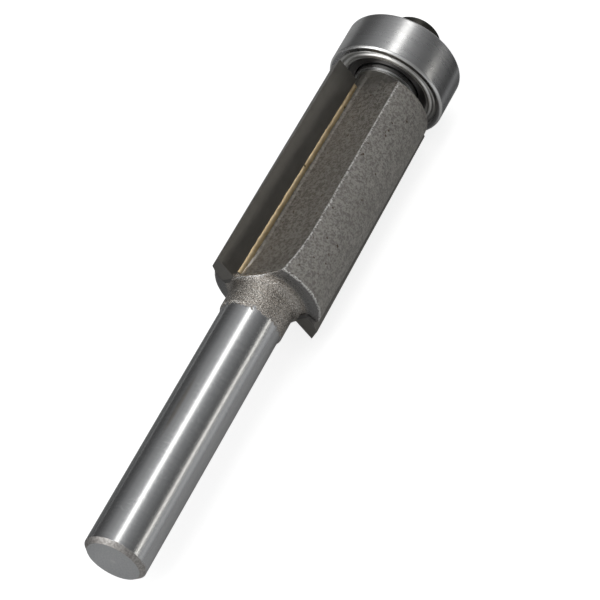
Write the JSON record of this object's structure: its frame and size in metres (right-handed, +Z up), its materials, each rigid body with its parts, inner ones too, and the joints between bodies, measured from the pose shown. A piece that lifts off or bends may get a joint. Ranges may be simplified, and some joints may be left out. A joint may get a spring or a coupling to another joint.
{
  "type": "router bit",
  "caption": "Flush trim router bit with brazed carbide plates, a plain shank, and a shielded guide bearing held on its end by a socket head screw.",
  "frame": {"origin": "centre of the shank's end face, on the bit's axis", "axes": "+Y along the axis from the shank to the guide bearing, +Z up, bit lying on its side"},
  "size_m": [0.0126, 0.0691, 0.0126],
  "materials": {
    "steel_body": "ground shank, blasted flutes",
    "carbide": "fine ground",
    "braze": "satin",
    "bright_steel": "rolled",
    "bearing_steel": "fine turned",
    "shield_steel": "pressed sheet",
    "cage_steel": "pressed sheet",
    "ball_steel": "polished",
    "black_steel": "black oxide"
  },
  "bodies": {
    "bit": {"bit_body": "steel_body", "carbide_plate_1": "carbide", "carbide_plate_2": "carbide", "braze_joint_1": "braze", "braze_joint_2": "braze", "shim_washer": "bright_steel", "bearing_inner_ring": "bearing_steel", "screw_washer": "black_steel", "retaining_screw": "black_steel"},
    "outer_race": {"bearing_outer_ring": "bearing_steel", "shield_near": "shield_steel", "shield_far": "shield_steel"},
    "cage": {"ball_cage": "cage_steel"},
    "ball_1": {"bearing_ball_1": "ball_steel"},
    "ball_2": {"bearing_ball_2": "ball_steel"},
    "ball_3": {"bearing_ball_3": "ball_steel"},
    "ball_4": {"bearing_ball_4": "ball_steel"},
    "ball_5": {"bearing_ball_5": "ball_steel"},
    "ball_6": {"bearing_ball_6": "ball_steel"},
    "ball_7": {"bearing_ball_7": "ball_steel"}
  },
  "joints": [
    {"name": "guide_spin", "type": "hinge", "parent": "bit", "child": "outer_race", "pos_m": [0, 0.06304, 0], "axis": [0, 1, 0], "continuous": true},
    {"name": "cage_orbit", "type": "hinge", "parent": "bit", "child": "cage", "pos_m": [0, 0.06304, 0], "axis": [0, 1, 0], "continuous": true},
    {"name": "ball_1_spin", "type": "hinge", "parent": "cage", "child": "ball_1", "pos_m": [0, 0.06304, 0.00437], "axis": [0, 1, 0], "continuous": true},
    {"name": "ball_2_spin", "type": "hinge", "parent": "cage", "child": "ball_2", "pos_m": [0.00341, 0.06304, 0.00272], "axis": [0, 1, 0], "continuous": true},
    {"name": "ball_3_spin", "type": "hinge", "parent": "cage", "child": "ball_3", "pos_m": [0.00426, 0.06304, -0.00097], "axis": [0, 1, 0], "continuous": true},
    {"name": "ball_4_spin", "type": "hinge", "parent": "cage", "child": "ball_4", "pos_m": [0.00189, 0.06304, -0.00393], "axis": [0, 1, 0], "continuous": true},
    {"name": "ball_5_spin", "type": "hinge", "parent": "cage", "child": "ball_5", "pos_m": [-0.00189, 0.06304, -0.00393], "axis": [0, 1, 0], "continuous": true},
    {"name": "ball_6_spin", "type": "hinge", "parent": "cage", "child": "ball_6", "pos_m": [-0.00426, 0.06304, -0.00097], "axis": [0, 1, 0], "continuous": true},
    {"name": "ball_7_spin", "type": "hinge", "parent": "cage", "child": "ball_7", "pos_m": [-0.00341, 0.06304, 0.00272], "axis": [0, 1, 0], "continuous": true}
  ],
  "couplings": [
    {"joint": "cage_orbit", "follows": "guide_spin", "ratio": 0.6363},
    {"joint": "ball_1_spin", "follows": "guide_spin", "ratio": 1.6972},
    {"joint": "ball_2_spin", "follows": "guide_spin", "ratio": 1.6972},
    {"joint": "ball_3_spin", "follows": "guide_spin", "ratio": 1.6972},
    {"joint": "ball_4_spin", "follows": "guide_spin", "ratio": 1.6972},
    {"joint": "ball_5_spin", "follows": "guide_spin", "ratio": 1.6972},
    {"joint": "ball_6_spin", "follows": "guide_spin", "ratio": 1.6972},
    {"joint": "ball_7_spin", "follows": "guide_spin", "ratio": 1.6972}
  ]
}
